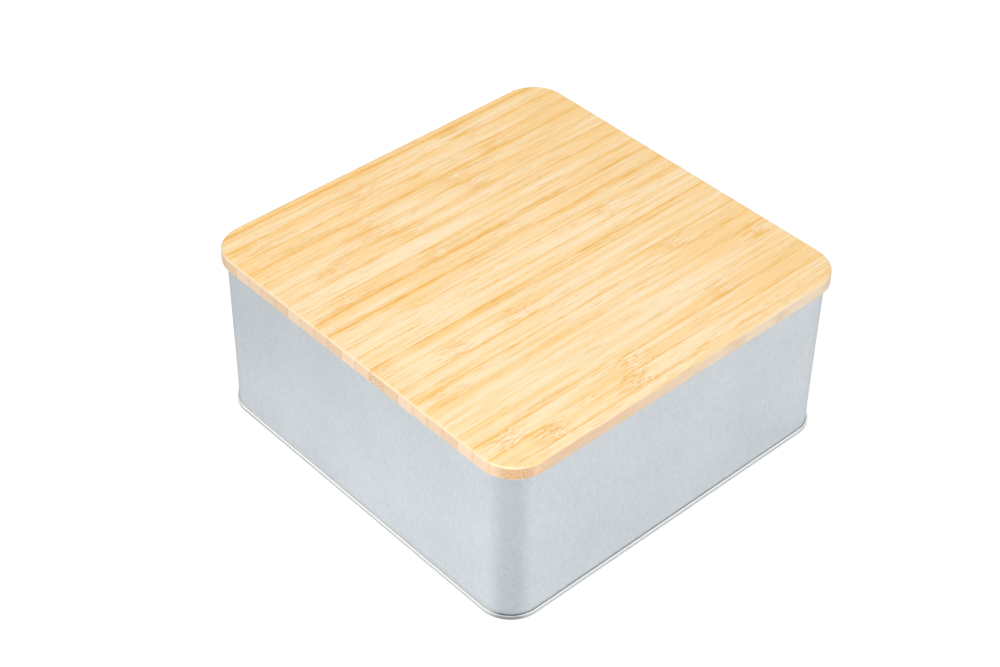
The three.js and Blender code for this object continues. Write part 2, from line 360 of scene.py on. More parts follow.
def finish_piece(mesh, name, material, body, node):
    """Makes the bmesh a smooth-shaded object that rides on a body in place of a CAD node."""
    data = bpy.data.meshes.new(name)
    mesh.to_mesh(data)
    mesh.free()
    data.shade_smooth()
    data.set_sharp_from_angle(angle=math.radians(SHARP_ANGLE))
    data.materials.append(material)
    piece = bpy.data.objects.new(name, data)
    bpy.context.scene.collection.objects.link(piece)
    weighted = piece.modifiers.new("even_normals", "WEIGHTED_NORMAL")
    weighted.keep_sharp = True
    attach(piece, body)
    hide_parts(node)
    return piece


# Short calls for building node materials

NOISE_MIDDLE = 0.5


class Graph:
    """Adds shader nodes to one tree. A value is a socket, a number or a colour."""

    def __init__(self, tree):
        self.tree = tree

    def node(self, kind):
        """A new shader node."""
        return self.tree.nodes.new("ShaderNode" + kind)

    def plug(self, socket, value):
        """Links a socket, or sets a plain value."""
        if isinstance(value, bpy.types.NodeSocket):
            self.tree.links.new(value, socket)
        else:
            socket.default_value = value

    def calc(self, operation, *values, clamp=False):
        """One Math node."""
        node = self.node("Math")
        node.operation = operation
        node.use_clamp = clamp
        for socket, value in zip(node.inputs, values):
            self.plug(socket, value)
        return node.outputs[0]

    def plus(self, *values):
        """The sum of the values."""
        return reduce(lambda total, value: self.calc("ADD", total, value), values)

    def times(self, *values):
        """The product of the values."""
        return reduce(lambda total, value: self.calc("MULTIPLY", total, value), values)

    def minus(self, value, less):
        """The first value less the second."""
        return self.calc("SUBTRACT", value, less)

    def over(self, value, divisor):
        """The first value divided by the second."""
        return self.calc("DIVIDE", value, divisor)

    def larger(self, first, second):
        """The larger of two values."""
        return self.calc("MAXIMUM", first, second)

    def smaller(self, first, second):
        """The smaller of two values."""
        return self.calc("MINIMUM", first, second)

    def unsigned(self, value):
        """The value without its sign."""
        return self.calc("ABSOLUTE", value)

    def fit(self, value, low, high, to_low=0.0, to_high=1.0, smooth=True):
        """Carries a value from one range to another, held inside the second."""
        node = self.node("MapRange")
        node.interpolation_type = "SMOOTHSTEP" if smooth else "LINEAR"
        for socket, number in zip(node.inputs, (value, low, high, to_low, to_high)):
            self.plug(socket, number)
        return node.outputs[0]

    def soft_spot(self, distance, reach):
        """1 at distance 0, fading evenly to both sides over the reach."""
        ratio = self.over(distance, reach)
        return self.calc("EXPONENT", self.times(ratio, ratio, -1.0))

    def fading(self, distance, reach):
        """1 at distance 0, falling off steadily on the positive side only."""
        ahead = self.larger(distance, 0.0)
        return self.calc("EXPONENT", self.over(ahead, self.times(reach, -1.0)))

    def vector(self, x, y, z):
        """A vector from its three parts."""
        node = self.node("CombineXYZ")
        for socket, value in zip(node.inputs, (x, y, z)):
            self.plug(socket, value)
        return node.outputs[0]

    def split(self, vector):
        """The three parts of a vector."""
        node = self.node("SeparateXYZ")
        self.plug(node.inputs[0], vector)
        return node.outputs[0], node.outputs[1], node.outputs[2]

    def noise(self, place, scale=1.0, detail=2.0, roughness=0.5, distortion=0.0):
        """Cloudy noise about NOISE_MIDDLE."""
        node = self.node("TexNoise")
        self.plug(node.inputs["Vector"], place)
        node.inputs["Scale"].default_value = scale
        node.inputs["Detail"].default_value = detail
        node.inputs["Roughness"].default_value = roughness
        node.inputs["Distortion"].default_value = distortion
        return node.outputs["Fac"]

    def dots(self, across, up, scale):
        """Distance from the nearest of many scattered points, in cells of the pattern."""
        node = self.node("TexVoronoi")
        node.voronoi_dimensions = "2D"
        self.plug(node.inputs["Vector"], self.vector(across, up, 0.0))
        node.inputs["Scale"].default_value = scale
        return node.outputs["Distance"]

    def attribute(self, name):
        """A value stored on the mesh."""
        node = self.node("Attribute")
        node.attribute_name = name
        return node.outputs["Fac"]

    def blend(self, share, first, second, mode="MIX"):
        """Mixes two colours; the sockets numbered here are the ones for colours."""
        node = self.node("Mix")
        node.data_type = "RGBA"
        node.blend_type = mode
        self.plug(node.inputs[0], share)
        self.plug(node.inputs[6], first)
        self.plug(node.inputs[7], second)
        return node.outputs[2]

    def paint(self, shade, *coats):
        """Lays coats over a colour in turn, each a share and a colour."""
        return reduce(lambda below, coat: self.blend(coat[0], below, coat[1]), coats, shade)

    def bump(self, height, strength, distance):
        """A normal tilted by the height."""
        node = self.node("Bump")
        node.inputs["Strength"].default_value = strength
        node.inputs["Distance"].default_value = distance
        self.plug(node.inputs["Height"], height)
        return node.outputs["Normal"]

    def place(self):
        """X, Y and Z of the surface in millimetres."""
        scaled = self.node("VectorMath")
        scaled.operation = "SCALE"
        scaled.inputs["Scale"].default_value = 1 / MM
        self.plug(scaled.inputs[0], self.node("TexCoord").outputs["Object"])
        return self.split(scaled.outputs[0])

    def facing(self):
        """X, Y and Z of the surface's own normal."""
        return self.split(self.node("TexCoord").outputs["Normal"])


def colour(red, green, blue):
    """A colour from its 0 to 255 display values."""
    def linear(value):
        share = value / 255
        return share / 12.92 if share <= 0.04045 else ((share + 0.055) / 1.055) ** 2.4

    return (linear(red), linear(green), linear(blue), 1.0)


def new_material(name):
    """A material, the graph that it is built with, and its shader."""
    material = bpy.data.materials.new(name)
    material.use_nodes = True
    return material, Graph(material.node_tree), material.node_tree.nodes["Principled BSDF"]


# Bamboo

CREAM = colour(252, 227, 187)
HONEY = colour(249, 211, 149)
AMBER = colour(240, 184, 87)
SCORCHED = colour(228, 166, 62)
THREAD = colour(214, 168, 92)
PALE = colour(254, 236, 206)
LONG_SIDE = colour(254, 231, 202)
LONG_DARK = colour(239, 205, 171)
END_SIDE = colour(254, 227, 196)
END_DARK = colour(226, 186, 141)
SLANT_DARK = colour(219, 176, 130)
SPECK = colour(206, 160, 112)
BAMBOO_GLOSS = 0.4
BAMBOO_ROUGHNESS = (0.3, 0.7, 0.5, 0.6)
BAMBOO_RELIEF = 0.12
RELIEF_DEPTH = 0.05

# In the lists below, an edge is where a pattern starts to show and where it shows in full, followed by
# the two levels that it goes between when these aren't 0 and 1

# Fibres: length along the strip and width across it, detail, and a shift that sets the patterns apart
BROAD = (60.0, 3.0, 1.0, 0.0)
STREAKS = (14.0, 0.55, 2.0, 9.0)
LINES = (40.0, 0.6, 1.0, 17.0)
FINE = (7.0, 0.4, 1.0, 31.0)
ZONES = (22.0, 4.0, 1.0, 43.0)
HATCH = (3.5, 0.55, 1.0, 53.0)
BROKEN = (6.0, 1.1, 1.0, 61.0)
FIBRE_ROUGHNESS = 0.6
SEED_SPREAD = 400.0
REAR_SEED_SHIFT = 71.0
ZONE_EDGE = (0.4, 0.62, 0.1, 1.0)
ZONE_BREAK_EDGE = (0.35, 0.62, 0.35, 1.15)
WANDER_RATE = 0.015
WANDER_DEPTH = 0.5

# Knuckles: crumbs of the broken edge, bend of the fibres, pale spot, swell of the amber, worn surroundings
CRUMB_LENGTH = 2.6
CRUMB_WIDTH = 1.5
KNUCKLE_JITTER = 5.0
KNUCKLE_OFF_MIDDLE = 1.2
BEND_AHEAD = 6.0
BEND_BEHIND = 3.0
BEND_DEPTH = 0.6
PALE_LENGTH = 4.5
PALE_WIDTH = 2.4
SWELL_BEHIND = 3.0
SWELL_LENGTH = 9.0
AROUND_LENGTH = 8.0

# Amber along the joints: how far each part reaches into the strip, and its share
AMBER_RUN = 24.0
AMBER_LAYER = 5.0
AMBER_RUN_EDGE = (0.3, 0.65, 0.4, 1.2)
AMBER_BREAK_EDGE = (0.3, 0.65, 0.7, 1.15)
LINE_REACH = 0.8
LINE_REACH_AT_KNUCKLE = 2.0
LINE_SHARE = 0.45
CRISP_REACH = 0.35
CRISP_SHARE = 0.5
TAIL_REACH = 2.6
TAIL_EDGE = (0.35, 0.65, 0.25, 0.65)
SWELL_SHARE = 0.7
DASH_REACH = 1.6
DASH_SHARE = 0.22
DASH_SWELL_SHARE = 0.14
DASH_EDGE = (0.62, 0.72)
DASH_STRENGTH = 0.85
DENSE_REACH = 3.5
DENSE_SWELL_SHARE = 0.5

# Edge and strength of each layer of the top's colour
TONE_SHARE = 0.4
HONEY_EDGE = (0.45, 0.8)
JOINT_REACH = 0.25
JOINT_STRENGTH = 0.08
HAIR_EDGE = (0.46, 0.7)
HAIR_STRENGTH = 0.17
THREAD_EDGE = (0.53, 0.65)
THREAD_DENSITY_EDGE = (0.0, 0.8, 0.34, 0.68)
BRIGHT_EDGE = (0.48, 0.36)
BRIGHT_STRENGTH = 0.42
SCORCHED_EDGE = (0.9, 1.7, 0.0, 0.7)
PALE_CRUMB_EDGE = (0.38, 0.6, 0.2, 0.55)
STROKE_EDGE = (0.53, 0.62)
STROKE_STRENGTH = 0.7
CHIP_EDGE = (0.45, 0.36)
CHIP_STRENGTH = 0.6

# The lid's sides: glue lines and specks on the ends, patches, streaks and pits on the long side, and cut
# fibres round the corners
GLUE_REACH = 0.6
GLUE_STRENGTH = 0.4
END_SPECKS_PER_MM = 1.3
END_SPECK_EDGE = (0.42, 0.22)
PATCHES_PER_MM = 0.08
PATCH_EDGE = (0.45, 0.65, 0.0, 0.5)
LONG_STREAK_EDGE = (0.56, 0.7)
LONG_STREAK_STRENGTH = 0.6
PITS_PER_MM = 0.2
PIT_EDGE = (0.08, 0.04)
CUT_FIBRES_PER_MM = 0.9
CUT_FIBRE_EDGE = (0.42, 0.2)
SLANT_BROWN_EDGE = (0.42, 0.6, 0.5, 0.9)

# Which way a surface faces, as parts of its normal: from the long side to the end, into a slanting cut
# from the long side and from the end, from the top into the rounded rim, and from the rim to the sides
END_FACING = (0.2, 0.8)
SLANT_FACING = (0.15, 0.45)
SLANT_FACING_END = (0.98, 0.8)
RIM_FACING = (0.95, 0.75)
SIDE_FACING = (0.4, 0.2)

# How strongly the rim's painted highlight shows, from the long side to the end
RIM_HIGHLIGHT_END = (0.0, 0.4, 0.1, 0.55)

# Stretches along X over which the lid's colour, wear, painted rim highlight and painted side shade change,
# each from its first level to its second
HONEY_RUN = (30.0, 80.0, 0.0, 0.08)
# The rim's painted highlight grows towards +X
RIM_HIGHLIGHT_RUN = (10.0, 70.0, 0.0, 0.7)
SLANTED_RUN = (0.0, 80.0, 1.0, 0.2)
# Painted shade: the long sides darken towards -X
LONG_SIDE_SHADE_RUN = (60.0, -80.0, 0.0, 1.0)
PITTED_RUN = (-20.0, -70.0, 0.0, 0.7)


def strip_surface(graph):
    """Where a point is on the board and in its own strip, and which way it faces."""
    x, y, z = graph.place()
    facing = graph.facing()
    from_front = graph.minus(y, graph.attribute("strip_low"))
    from_rear = graph.minus(graph.attribute("strip_high"), y)
    return SimpleNamespace(
        x=x,
        y=y,
        z=z,
        endwise=graph.unsigned(facing[0]),
        upright=graph.unsigned(facing[2]),
        from_front=from_front,
        from_rear=from_rear,
        from_joint=graph.smaller(from_front, from_rear),
        seed=graph.times(graph.attribute("strip_seed"), SEED_SPREAD),
    )


def add_knuckles(graph, wood):
    """Adds how near the knuckles are, and the fibres' line, which wanders and bends at each of them."""
    wander = graph.noise(graph.vector(graph.times(wood.x, WANDER_RATE), wood.seed, 0.0), detail=1.0)
    wood.line = graph.plus(wood.y, graph.times(graph.minus(wander, NOISE_MIDDLE), WANDER_DEPTH))
    crumbs = graph.vector(graph.over(wood.x, CRUMB_LENGTH), graph.over(wood.y, CRUMB_WIDTH), wood.seed)
    wood.crumble = graph.noise(crumbs)
    jitter = graph.times(graph.minus(wood.crumble, NOISE_MIDDLE), KNUCKLE_JITTER)
    sweep_side = graph.attribute("sweep_side")
    from_middle = graph.over(graph.minus(wood.from_front, wood.from_rear), 2.0)
    from_spot = graph.minus(from_middle, graph.times(sweep_side, KNUCKLE_OFF_MIDDLE))
    wood.pale, wood.swell, wood.around = 0.0, 0.0, 0.0
    for name in ("knuckle_1", "knuckle_2"):
        ahead = graph.plus(graph.minus(wood.x, graph.attribute(name)), jitter)
        behind = graph.times(ahead, -1.0)
        bend = graph.times(graph.fading(ahead, BEND_AHEAD), graph.fading(behind, BEND_BEHIND))
        bend = graph.times(bend, graph.times(sweep_side, -BEND_DEPTH))
        spot = graph.times(graph.soft_spot(ahead, PALE_LENGTH), graph.soft_spot(from_spot, PALE_WIDTH))
        swell = graph.soft_spot(graph.plus(ahead, SWELL_BEHIND), SWELL_LENGTH)
        wood.line = graph.plus(wood.line, bend)
        wood.pale = graph.plus(wood.pale, spot)
        wood.swell = graph.plus(wood.swell, swell)
        wood.around = graph.plus(wood.around, graph.soft_spot(ahead, AROUND_LENGTH))


def fibres(graph, wood, pattern):
    """One pattern of fibres, drawn out along the strip."""
    length, width, detail, shift = pattern
    along = graph.plus(graph.over(wood.x, length), graph.plus(wood.seed, shift))
    across = graph.over(wood.line, width)
    down = graph.plus(graph.over(wood.z, width), wood.seed)
    return graph.noise(graph.vector(along, across, down), detail=detail, roughness=FIBRE_ROUGHNESS)


def add_fibres(graph, wood):
    """Adds the patterns of fibres, and the zones where they show."""
    wood.broad = fibres(graph, wood, BROAD)
    wood.streaks = fibres(graph, wood, STREAKS)
    wood.lines = fibres(graph, wood, LINES)
    wood.fine = fibres(graph, wood, FINE)
    wood.hatch = fibres(graph, wood, HATCH)
    wood.broken = fibres(graph, wood, BROKEN)
    zones = graph.fit(fibres(graph, wood, ZONES), *ZONE_EDGE)
    zones = graph.larger(zones, wood.around)
    wood.zones = graph.times(zones, graph.fit(wood.broken, *ZONE_BREAK_EDGE))


def amber_side(graph, wood, side, from_joint, seed):
    """Amber band on one side of a strip, where the stem's dense outer wall was; stronger at a knuckle."""
    run = graph.noise(graph.vector(graph.over(wood.x, AMBER_RUN), seed, AMBER_LAYER), detail=1.0)
    band = graph.times(graph.attribute(side + "_band"), graph.fit(run, *AMBER_RUN_EDGE))
    reach = graph.fit(wood.swell, 0.0, 1.0, LINE_REACH, LINE_REACH_AT_KNUCKLE)
    line = graph.times(graph.fading(from_joint, reach), LINE_SHARE)
    crisp = graph.times(graph.soft_spot(from_joint, CRISP_REACH), CRISP_SHARE)
    tail = graph.times(graph.fading(from_joint, TAIL_REACH), graph.fit(wood.lines, *TAIL_EDGE))
    swollen = graph.plus(graph.times(wood.swell, SWELL_SHARE), 1.0)
    return graph.times(band, graph.plus(line, crisp, tail), swollen)


def along_joints(graph, wood, kind, reach):
    """One kind of the strip's values for its two sides, fading inwards from each joint."""
    front = graph.times(graph.attribute("front_" + kind), graph.fading(wood.from_front, reach))
    rear = graph.times(graph.attribute("rear_" + kind), graph.fading(wood.from_rear, reach))
    return graph.larger(front, rear)


def add_amber(graph, wood):
    """Adds how amber the wood is, in bands and dashes, and how dense its fibres are."""
    rear_seed = graph.plus(wood.seed, REAR_SEED_SHIFT)
    front = amber_side(graph, wood, "front", wood.from_front, wood.seed)
    rear = amber_side(graph, wood, "rear", wood.from_rear, rear_seed)
    bands = graph.times(graph.larger(front, rear), graph.fit(wood.broken, *AMBER_BREAK_EDGE))
    dashes = graph.times(along_joints(graph, wood, "dashes", DASH_REACH), DASH_SHARE)
    dashes = graph.plus(wood.streaks, dashes, graph.times(wood.swell, DASH_SWELL_SHARE))
    dashes = graph.times(graph.fit(dashes, *DASH_EDGE), DASH_STRENGTH)
    wood.amber = graph.larger(bands, dashes)
    dense = along_joints(graph, wood, "band", DENSE_REACH)
    wood.dense = graph.larger(dense, graph.times(wood.swell, DENSE_SWELL_SHARE))


def top_shade(graph, wood):
    """Colour of the wood along its fibres."""
    tone = graph.times(graph.attribute("strip_tone"), TONE_SHARE)
    honey = graph.plus(wood.broad, tone, graph.fit(wood.x, *HONEY_RUN))
    joint = graph.times(graph.soft_spot(wood.from_joint, JOINT_REACH), JOINT_STRENGTH)
    hairs = graph.times(graph.fit(wood.fine, *HAIR_EDGE), wood.zones, HAIR_STRENGTH)
    density = graph.fit(wood.dense, *THREAD_DENSITY_EDGE)
    threads = graph.times(graph.fit(wood.lines, *THREAD_EDGE), density, wood.zones)
    bright = graph.times(graph.fit(wood.lines, *BRIGHT_EDGE), wood.zones, BRIGHT_STRENGTH)
    pale = graph.times(wood.pale, graph.fit(wood.crumble, *PALE_CRUMB_EDGE))
    crumbly = graph.times(wood.around, graph.attribute("crumbly"))
    strokes = graph.times(graph.fit(wood.hatch, *STROKE_EDGE), crumbly, STROKE_STRENGTH)
    chips = graph.times(graph.fit(wood.hatch, *CHIP_EDGE), crumbly, CHIP_STRENGTH)
    return graph.paint(
        graph.blend(graph.fit(honey, *HONEY_EDGE), CREAM, HONEY),
        (graph.larger(hairs, joint), THREAD),
        (threads, THREAD),
        (bright, PALE),
        (graph.smaller(wood.amber, 1.0), AMBER),
        (graph.fit(wood.amber, *SCORCHED_EDGE), SCORCHED),
        (pale, PALE),
        (strokes, SCORCHED),
        (chips, PALE),
    )


def end_shade(graph, wood):
    """Colour of the sawn ends: each strip's own tone, its glue lines, and specks on one strip."""
    glue = graph.times(graph.soft_spot(wood.from_joint, GLUE_REACH), GLUE_STRENGTH)
    specks = graph.fit(graph.dots(wood.y, wood.z, END_SPECKS_PER_MM), *END_SPECK_EDGE)
    specks = graph.times(specks, graph.attribute("end_specks"))
    ends = graph.blend(graph.attribute("end_tone"), END_SIDE, END_DARK)
    return graph.paint(ends, (glue, END_DARK), (specks, SPECK))


def long_side_shade(graph, wood):
    """Colour of the front and rear edges: duller in patches and, as painted shade, darker towards -X, with
    a few streaks and pits.
    """
    patches = graph.noise(graph.vector(wood.x, wood.seed, 0.0), PATCHES_PER_MM)
    patches = graph.fit(patches, *PATCH_EDGE)
    # Painted shade darkening towards -X, together with the patches' own duller colour
    darker = graph.larger(graph.fit(wood.x, *LONG_SIDE_SHADE_RUN), patches)
    streaks = graph.times(graph.fit(wood.streaks, *LONG_STREAK_EDGE), LONG_STREAK_STRENGTH)
    pits = graph.fit(graph.dots(wood.x, wood.z, PITS_PER_MM), *PIT_EDGE)
    pits = graph.times(pits, graph.fit(wood.x, *PITTED_RUN))
    long_side = graph.blend(darker, LONG_SIDE, LONG_DARK)
    return graph.paint(long_side, (streaks, THREAD), (pits, SPECK))


def side_shade(graph, wood, end):
    """Colour of the lid's upright edges, browner round the corners, where the fibres are cut slantwise."""
    slanted = graph.times(
        graph.fit(wood.endwise, *SLANT_FACING),
        graph.fit(wood.endwise, *SLANT_FACING_END),
        graph.fit(wood.x, *SLANTED_RUN),
    )
    brown = graph.times(slanted, graph.fit(wood.lines, *SLANT_BROWN_EDGE))
    cut_fibres = graph.dots(graph.minus(wood.x, wood.y), wood.z, CUT_FIBRES_PER_MM)
    cut_fibres = graph.times(graph.fit(cut_fibres, *CUT_FIBRE_EDGE), slanted)
    sides = graph.blend(end, long_side_shade(graph, wood), end_shade(graph, wood))
    return graph.paint(sides, (brown, SLANT_DARK), (cut_fibres, SPECK))


def bamboo_material():
    """Sanded bamboo, driven by the values stored on each strip; a painted highlight makes its rounded edge
    paler.
    """
    material, graph, shader = new_material("bamboo")
    wood = strip_surface(graph)
    add_knuckles(graph, wood)
    add_fibres(graph, wood)
    add_amber(graph, wood)
    end = graph.fit(wood.endwise, *END_FACING)
    # Painted highlight on the rounded rim, stronger at the ends and towards +X
    rim_highlight = graph.larger(graph.fit(end, *RIM_HIGHLIGHT_END), graph.fit(wood.x, *RIM_HIGHLIGHT_RUN))
    shade = graph.paint(
        top_shade(graph, wood),
        # Painted highlight along the rounded rim
        (graph.fit(wood.upright, *RIM_FACING, 0.0, rim_highlight), PALE),
        (graph.fit(wood.upright, *SIDE_FACING), side_shade(graph, wood, end)),
    )
    graph.plug(shader.inputs["Base Color"], shade)
    graph.plug(shader.inputs["Roughness"], graph.fit(wood.fine, *BAMBOO_ROUGHNESS))
    graph.plug(shader.inputs["Normal"], graph.bump(wood.lines, BAMBOO_RELIEF, RELIEF_DEPTH * MM))
    shader.inputs["Specular IOR Level"].default_value = BAMBOO_GLOSS
    return material


def cut_strip(board, low, high):
    """A copy of the board's stretch between two levels of Y, closed where it is cut."""
    piece = board.copy()
    for level, facing in ((low, -1), (high, 1)):
        is_board_edge = abs(level) >= LID_WIDTH / 2 * MM
        if is_board_edge:
            continue
        everything = piece.verts[:] + piece.edges[:] + piece.faces[:]
        cut = bmesh.ops.bisect_plane(
            piece, geom=everything, plane_co=(0, level, 0), plane_no=(0, facing, 0), clear_outer=True
        )
        edges = [item for item in cut["geom_cut"] if isinstance(item, bmesh.types.BMEdge)]
        bmesh.ops.edgeloop_fill(piece, edges=edges)
    return piece


def strip_values(number, low, high):
    """What the bamboo material reads from one strip's mesh."""
    tone, front, rear, knuckles = STRIPS[number - 1]
    return {
        "strip_seed": (number * SEED_STEP) % 1,
        "strip_tone": tone,
        "front_band": front[0],
        "front_dashes": front[1],
        "rear_band": rear[0],
        "rear_dashes": rear[1],
        "sweep_side": 1.0 if sum(rear) > sum(front) else -1.0,
        "crumbly": CRUMBLY_STRIPS.get(number, LESS_CRUMBLY),
        "end_specks": 1.0 if number == SPECKLED_STRIP else FEWER_SPECKS,
        "end_tone": END_TONE_RANGE * ((number * END_TONE_STEP) % 1),
        "strip_low": low / MM,
        "strip_high": high / MM,
        "knuckle_1": knuckles[0] if knuckles else NO_KNUCKLE,
        "knuckle_2": knuckles[1] if len(knuckles) > 1 else NO_KNUCKLE,
    }


def make_strips(material):
    """The milled board, cut into its strips in the middle of each glue line."""
    board = sweep(board_section(), False, corner_stations())
    for number in range(1, len(STRIPS) + 1):
        node = f"bamboo_strip_{number:02d}"
        low, high = (corner.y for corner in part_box(node))
        low, high = low - GLUE_LINE / 2 * MM, high + GLUE_LINE / 2 * MM
        piece = cut_strip(board, low, high)
        strip = finish_piece(piece, f"lid_strip_{number:02d}", material, "lid", node)
        for name, value in strip_values(number, low, high).items():
            layer = strip.data.attributes.new(name, "FLOAT", "POINT")
            layer.data.foreach_set("value", [value] * len(strip.data.vertices))
    board.free()


# Tinplate

TIN_DARK = colour(195, 201, 205)
TIN_LIGHT = colour(207, 212, 216)
# Painted shade, multiplied into the bent upright corners
CORNER_PAINTED_SHADE = colour(230, 233, 234)
TIN_SEAM = colour(205, 208, 209)
# Painted shade on the seam at the corners, strongest at the nearest one
SEAM_PAINTED_SHADE = colour(152, 153, 153)
# Painted contact shadow along the foot of the seam
FOOT_PAINTED_SHADE = colour(132, 132, 131)
# Painted highlight on the seam's shoulder and in the crease above it
TIN_PAINTED_HIGHLIGHT = colour(244, 244, 243)
TIN_ROUGHNESS = (0.3, 0.7, 0.42, 0.5)
ROLLED_SMOOTHER = 0.15
TIN_RELIEF = 0.05

# Mottle: fine grains drawn out upright, and faint clouds
GRAINS_PER_MM = 0.7
GRAIN_UPRIGHT = 0.7
GRAIN_DETAIL = 3.0
GRAIN_ROUGHNESS = 0.65
GRAIN_DISTORTION = 0.6
GRAIN_SHARE = 0.7
CLOUDS_PER_MM = 0.03
MOTTLE_EDGE = (0.35, 0.65)

# Where the sheet is bent at the corners, which get painted shade; where X + Y takes the painted shade on
# the seam from weak to strong at the nearest corner; and the levels that set the seam off from the wall
BENT_RUN = (CORNER_CENTRE + 1.0, CORNER_CENTRE + 9.5)
# X + Y over which the painted shade on the seam's corners goes from weak to strong
CORNER_SHADE_RUN = (-60.0, -150.0, 0.25, 1.0)
SEAM_RUN = (SEAM_HEIGHT + 0.1, SEAM_HEIGHT)
# Heights over which the painted contact shadow darkens the foot
FOOT_SHADE_RUN = (SEAM_HEIGHT * 0.4, SEAM_HEIGHT * 0.05)
# Heights, and below the end faces, where a painted highlight lightens the crease above the seam
CREASE_TOP_RUN = (SEAM_HEIGHT + 1.0, SEAM_HEIGHT + 0.2)
CREASE_LOW_RUN = (SEAM_HEIGHT - 0.6, SEAM_HEIGHT - 0.3)
END_FACE = LID_WIDTH / 2 - LID_OVERHANG
END_FACE_RUN = (END_FACE - 3, END_FACE - 1)
# Upward facing at which the seam's rolled shoulder gets its painted highlight
SHOULDER_FACING = (0.1, 0.5)


def tin_mottle(graph, x, y, z):
    """The tinplate's grain, and the mottle that it makes with the clouds."""
    grain_place = graph.vector(x, y, graph.times(z, GRAIN_UPRIGHT))
    grain = graph.noise(grain_place, GRAINS_PER_MM, GRAIN_DETAIL, GRAIN_ROUGHNESS, GRAIN_DISTORTION)
    cloud = graph.noise(graph.vector(x, y, z), CLOUDS_PER_MM)
    mottle = graph.plus(graph.times(grain, GRAIN_SHARE), graph.times(cloud, 1 - GRAIN_SHARE))
    return grain, mottle


def tin_material():
    """Satin tinplate, finely mottled; painted shade on the corners, the seam's corners and its foot;
    painted highlight on the smoother rolled shoulder and in the crease.
    """
    material, graph, shader = new_material("tinplate")
    x, y, z = graph.place()
    facing_up = graph.facing()[2]
    grain, mottle = tin_mottle(graph, x, y, z)
    bent = graph.fit(graph.smaller(graph.unsigned(x), graph.unsigned(y)), *BENT_RUN)
    # Painted shade on the seam's corners, strongest at the nearest one; it also keeps the painted
    # highlights off them
    pressed = graph.times(bent, graph.fit(graph.plus(x, y), *CORNER_SHADE_RUN))
    clear_of_corner_shade = graph.minus(1.0, pressed)
    seam = graph.fit(z, *SEAM_RUN)
    # Painted highlight on the seam's rolled shoulder, which is also smoother
    rolled_shoulder_highlight = graph.times(seam, graph.fit(facing_up, *SHOULDER_FACING), clear_of_corner_shade)
    # Painted highlight that lightens the crease above the seam on the end faces
    end_face = graph.fit(graph.unsigned(x), *END_FACE_RUN)
    crease = graph.fit(z, *CREASE_TOP_RUN, 0.0, end_face)
    crease = graph.times(crease, graph.fit(z, *CREASE_LOW_RUN), clear_of_corner_shade)
    shade = graph.blend(graph.fit(mottle, *MOTTLE_EDGE), TIN_DARK, TIN_LIGHT)
    shade = graph.paint(
        # Painted shade darkens the bent corners
        graph.blend(bent, shade, CORNER_PAINTED_SHADE, "MULTIPLY"),
        (seam, TIN_SEAM),
        # Painted shade on the seam's corners
        (graph.times(pressed, seam), SEAM_PAINTED_SHADE),
        # Painted contact shadow at the foot
        (graph.fit(z, *FOOT_SHADE_RUN), FOOT_PAINTED_SHADE),
        # Painted highlight on the rolled shoulder and in the crease
        (graph.larger(rolled_shoulder_highlight, crease), TIN_PAINTED_HIGHLIGHT),
    )
    satin = graph.fit(mottle, *TIN_ROUGHNESS)
    roughness = graph.minus(satin, graph.times(rolled_shoulder_highlight, ROLLED_SMOOTHER))
    graph.plug(shader.inputs["Base Color"], shade)
    graph.plug(shader.inputs["Roughness"], roughness)
    graph.plug(shader.inputs["Normal"], graph.bump(grain, TIN_RELIEF, RELIEF_DEPTH * MM))
    shader.inputs["Metallic"].default_value = 1.0
    return material


def lock_seam_shift(section):
    """How far each point of the wall's section moves at the lock seam, by its place along X."""
    outside_points = len(section) // 2
    fold_depths = {LOCK_HALF_WIDTH: LOCK_FOLD_DEPTH, -LOCK_HALF_WIDTH: LOCK_CREASE_DEPTH}
    rib_low = LOCK_RIB_BOTTOM + LOCK_RIB_SLOPE / 2
    rib_high = LOCK_RIB_TOP - LOCK_RIB_SLOPE / 2

    def shift(x, index):
        z = section[index][1]
        if index < outside_points:
            return -fold_depths.get(x, 0.0) if LOCK_RIB_BOTTOM <= z <= CURL_BOTTOM else 0.0
        return -LOCK_RIB_DEPTH if abs(x) < LOCK_HALF_WIDTH and rib_low < z < rib_high else 0.0

    return shift


def make_tin(material):
    """The wall, with extra stations at the lock seam's two folds, and the base."""
    section = wall_section()
    places = [side * LOCK_HALF_WIDTH + step for side in (1, -1) for step in LOCK_STEPS_ACROSS_FOLD]
    stations = corner_stations()
    first_rear = CORNER_STEPS + 1
    stations[first_rear:first_rear] = rear_stations(places)
    wall = sweep(section, True, stations, lock_seam_shift(section))
    finish_piece(wall, "tin_wall", material, "tin", "body_wall")
    base = sweep(base_section(), False, corner_stations())
    finish_piece(base, "tin_base", material, "tin", "base_panel")


# Silicone seal

SEAL_SHADE = colour(226, 227, 222)
SEAL_LIGHT = colour(238, 238, 234)
SEAL_CLOUDS_PER_MM = 0.3
SEAL_ROUGHNESS = (0.3, 0.7, 0.4, 0.5)
SEAL_SCATTER = 0.3
SEAL_SCATTER_REACH = 1.0 * MM


def seal_material():
    """Milky silicone."""
    material, graph, shader = new_material("silicone")
    cloud = graph.noise(graph.vector(*graph.place()), SEAL_CLOUDS_PER_MM)
    graph.plug(shader.inputs["Base Color"], graph.blend(cloud, SEAL_SHADE, SEAL_LIGHT))
    graph.plug(shader.inputs["Roughness"], graph.fit(cloud, *SEAL_ROUGHNESS))
    shader.inputs["Subsurface Weight"].default_value = SEAL_SCATTER
    shader.inputs["Subsurface Radius"].default_value = (SEAL_SCATTER_REACH,) * 3
    return material


def make_seal(material):
    """The seal's ring."""
    seal = sweep(seal_section(), True, corner_stations())
    finish_piece(seal, "seal_ring", material, "lid", "lid_seal")


# Stage


